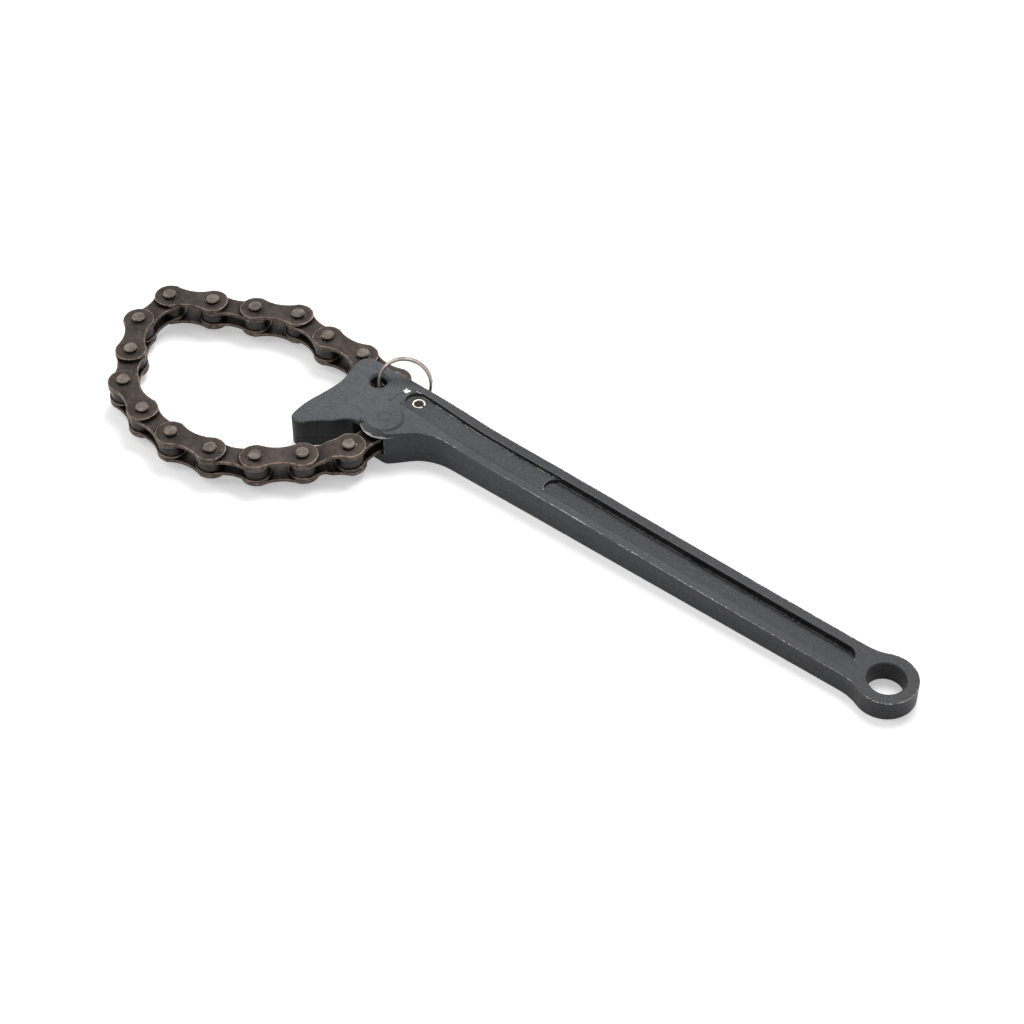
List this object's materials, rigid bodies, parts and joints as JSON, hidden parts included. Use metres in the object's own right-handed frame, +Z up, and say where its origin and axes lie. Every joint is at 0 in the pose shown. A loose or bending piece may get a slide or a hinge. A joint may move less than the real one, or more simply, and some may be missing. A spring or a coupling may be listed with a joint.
{
  "type": "chain filter wrench",
  "caption": "Forged one-piece handle with a slotted, beaked head and a looped roller chain that wraps round and grips a canister filter; hanging hole and keeper ring.",
  "frame": {"origin": "axis of the hanging hole at the flat underside of the handle", "axes": "+X along the handle from the head to the hanging eye, +Z up from the flat underside, so the chain pivots turn about Z"},
  "size_m": [0.2486, 0.0656, 0.0181],
  "materials": {
    "forging_paint": "dark grey paint, satin, chipped at the edges",
    "anchor_steel": "painted over with the head",
    "spring_steel": "bare spring steel, worn bright",
    "plate_bronze": "brown oiled steel, bright on worn rims",
    "pin_steel": "brown steel, satin",
    "bushing_steel": "oiled steel",
    "roller_steel": "oiled steel, polished in bands",
    "ring_steel": "plain steel wire"
  },
  "bodies": {
    "forging": {"handle": "forging_paint", "anchor_pin": "anchor_steel", "spring_pin": "spring_steel"},
    "link_01": {"link_01_plates": "plate_bronze", "link_01_bushings": "bushing_steel"},
    "roller_01": {"roller_01": "roller_steel"},
    "link_02": {"link_02_plates": "plate_bronze", "link_02_pin": "pin_steel", "link_02_bushing": "bushing_steel"},
    "roller_02": {"roller_02": "roller_steel"},
    "link_03": {"link_03_plates": "plate_bronze", "link_03_pins": "pin_steel"},
    "link_04": {"link_04_plates": "plate_bronze", "link_04_bushings": "bushing_steel"},
    "roller_03": {"roller_03": "roller_steel"},
    "roller_04": {"roller_04": "roller_steel"},
    "link_05": {"link_05_plates": "plate_bronze", "link_05_pins": "pin_steel"},
    "link_06": {"link_06_plates": "plate_bronze", "link_06_bushings": "bushing_steel"},
    "roller_05": {"roller_05": "roller_steel"},
    "roller_06": {"roller_06": "roller_steel"},
    "link_07": {"link_07_plates": "plate_bronze", "link_07_pins": "pin_steel"},
    "link_08": {"link_08_plates": "plate_bronze", "link_08_bushings": "bushing_steel"},
    "roller_07": {"roller_07": "roller_steel"},
    "roller_08": {"roller_08": "roller_steel"},
    "link_09": {"link_09_plates": "plate_bronze", "link_09_pins": "pin_steel"},
    "link_10": {"link_10_plates": "plate_bronze", "link_10_bushings": "bushing_steel"},
    "roller_09": {"roller_09": "roller_steel"},
    "roller_10": {"roller_10": "roller_steel"},
    "link_11": {"link_11_plates": "plate_bronze", "link_11_pins": "pin_steel"},
    "link_12": {"link_12_plates": "plate_bronze", "link_12_bushings": "bushing_steel"},
    "roller_11": {"roller_11": "roller_steel"},
    "roller_12": {"roller_12": "roller_steel"},
    "link_13": {"link_13_plates": "plate_bronze", "link_13_pins": "pin_steel"},
    "link_14": {"link_14_plates": "plate_bronze", "link_14_bushings": "bushing_steel"},
    "roller_13": {"roller_13": "roller_steel"},
    "roller_14": {"roller_14": "roller_steel"},
    "link_15": {"link_15_plates": "plate_bronze", "link_15_pins": "pin_steel"},
    "link_16": {"link_16_plates": "plate_bronze", "link_16_bushings": "bushing_steel"},
    "roller_15": {"roller_15": "roller_steel"},
    "roller_16": {"roller_16": "roller_steel"},
    "ring": {"split_ring": "ring_steel"}
  },
  "joints": [
    {"name": "pivot_01", "type": "hinge", "parent": "forging", "child": "link_01", "pos_m": [-0.1542, -0.0104, 0.0059], "axis": [0, 0, 1], "range_deg": [0, 4]},
    {"name": "roller_01_spin", "type": "hinge", "parent": "link_01", "child": "roller_01", "pos_m": [-0.15619, -0.02294, 0.0059], "axis": [0, 0, 1], "continuous": true},
    {"name": "pivot_02", "type": "hinge", "parent": "link_01", "child": "link_02", "pos_m": [-0.15619, -0.02294, 0.0059], "axis": [0, 0, 1], "range_deg": [0, 36]},
    {"name": "roller_02_spin", "type": "hinge", "parent": "link_02", "child": "roller_02", "pos_m": [-0.16383, -0.03309, 0.0059], "axis": [0, 0, 1], "continuous": true},
    {"name": "pivot_03", "type": "hinge", "parent": "link_02", "child": "link_03", "pos_m": [-0.16383, -0.03309, 0.0059], "axis": [0, 0, 1], "range_deg": [0, 19]},
    {"name": "pivot_04", "type": "hinge", "parent": "link_03", "child": "link_04", "pos_m": [-0.17327, -0.04158, 0.0059], "axis": [0, 0, 1], "range_deg": [0, 25]},
    {"name": "roller_03_spin", "type": "hinge", "parent": "link_04", "child": "roller_03", "pos_m": [-0.17327, -0.04158, 0.0059], "axis": [0, 0, 1], "continuous": true},
    {"name": "roller_04_spin", "type": "hinge", "parent": "link_04", "child": "roller_04", "pos_m": [-0.18478, -0.04695, 0.0059], "axis": [0, 0, 1], "continuous": true},
    {"name": "pivot_05", "type": "hinge", "parent": "link_04", "child": "link_05", "pos_m": [-0.18478, -0.04695, 0.0059], "axis": [0, 0, 1], "range_deg": [0, 24]},
    {"name": "pivot_06", "type": "hinge", "parent": "link_05", "child": "link_06", "pos_m": [-0.19732, -0.04894, 0.0059], "axis": [0, 0, 1], "range_deg": [0, 26]},
    {"name": "roller_05_spin", "type": "hinge", "parent": "link_06", "child": "roller_05", "pos_m": [-0.19732, -0.04894, 0.0059], "axis": [0, 0, 1], "continuous": true},
    {"name": "roller_06_spin", "type": "hinge", "parent": "link_06", "child": "roller_06", "pos_m": [-0.20986, -0.04695, 0.0059], "axis": [0, 0, 1], "continuous": true},
    {"name": "pivot_07", "type": "hinge", "parent": "link_06", "child": "link_07", "pos_m": [-0.20986, -0.04695, 0.0059], "axis": [0, 0, 1], "range_deg": [0, 21]},
    {"name": "pivot_08", "type": "hinge", "parent": "link_07", "child": "link_08", "pos_m": [-0.22164, -0.04219, 0.0059], "axis": [0, 0, 1], "range_deg": [0, 41]},
    {"name": "roller_07_spin", "type": "hinge", "parent": "link_08", "child": "roller_07", "pos_m": [-0.22164, -0.04219, 0.0059], "axis": [0, 0, 1], "continuous": true},
    {"name": "roller_08_spin", "type": "hinge", "parent": "link_08", "child": "roller_08", "pos_m": [-0.22892, -0.03179, 0.0059], "axis": [0, 0, 1], "continuous": true},
    {"name": "pivot_09", "type": "hinge", "parent": "link_08", "child": "link_09", "pos_m": [-0.22892, -0.03179, 0.0059], "axis": [0, 0, 1], "range_deg": [0, 10]},
    {"name": "pivot_10", "type": "hinge", "parent": "link_09", "child": "link_10", "pos_m": [-0.23603, -0.02126, 0.0059], "axis": [0, 0, 1], "range_deg": [0, 42]},
    {"name": "roller_09_spin", "type": "hinge", "parent": "link_10", "child": "roller_09", "pos_m": [-0.23603, -0.02126, 0.0059], "axis": [0, 0, 1], "continuous": true},
    {"name": "roller_10_spin", "type": "hinge", "parent": "link_10", "child": "roller_10", "pos_m": [-0.23603, -0.00856, 0.0059], "axis": [0, 0, 1], "continuous": true},
    {"name": "pivot_11", "type": "hinge", "parent": "link_10", "child": "link_11", "pos_m": [-0.23603, -0.00856, 0.0059], "axis": [0, 0, 1], "range_deg": [0, 70]},
    {"name": "pivot_12", "type": "hinge", "parent": "link_11", "child": "link_12", "pos_m": [-0.22481, -0.0026, 0.0059], "axis": [0, 0, 1], "range_deg": [0, 12]},
    {"name": "roller_11_spin", "type": "hinge", "parent": "link_12", "child": "roller_11", "pos_m": [-0.22481, -0.0026, 0.0059], "axis": [0, 0, 1], "continuous": true},
    {"name": "roller_12_spin", "type": "hinge", "parent": "link_12", "child": "roller_12", "pos_m": [-0.21321, 0.00257, 0.0059], "axis": [0, 0, 1], "continuous": true},
    {"name": "pivot_13", "type": "hinge", "parent": "link_12", "child": "link_13", "pos_m": [-0.21321, 0.00257, 0.0059], "axis": [0, 0, 1], "range_deg": [0, 10]},
    {"name": "pivot_14", "type": "hinge", "parent": "link_13", "child": "link_14", "pos_m": [-0.2017, 0.00793, 0.0059], "axis": [0, 0, 1], "range_deg": [0, 41]},
    {"name": "roller_13_spin", "type": "hinge", "parent": "link_14", "child": "roller_13", "pos_m": [-0.2017, 0.00793, 0.0059], "axis": [0, 0, 1], "continuous": true},
    {"name": "roller_14_spin", "type": "hinge", "parent": "link_14", "child": "roller_14", "pos_m": [-0.18912, 0.00617, 0.0059], "axis": [0, 0, 1], "continuous": true},
    {"name": "pivot_15", "type": "hinge", "parent": "link_14", "child": "link_15", "pos_m": [-0.18912, 0.00617, 0.0059], "axis": [0, 0, 1], "range_deg": [0, 10]},
    {"name": "pivot_16", "type": "hinge", "parent": "link_15", "child": "link_16", "pos_m": [-0.17643, 0.00661, 0.0059], "axis": [0, 0, 1], "range_deg": [0, 14]},
    {"name": "roller_15_spin", "type": "hinge", "parent": "link_16", "child": "roller_15", "pos_m": [-0.17643, 0.00661, 0.0059], "axis": [0, 0, 1], "continuous": true},
    {"name": "roller_16_spin", "type": "hinge", "parent": "link_16", "child": "roller_16", "pos_m": [-0.16376, 0.00572, 0.0059], "axis": [0, 0, 1], "continuous": true},
    {"name": "ring_turn", "type": "hinge", "parent": "forging", "child": "ring", "pos_m": [-0.15881, 0.00384, 0.01089], "axis": [0.4845, -0.7918, 0.3718], "continuous": true}
  ]
}
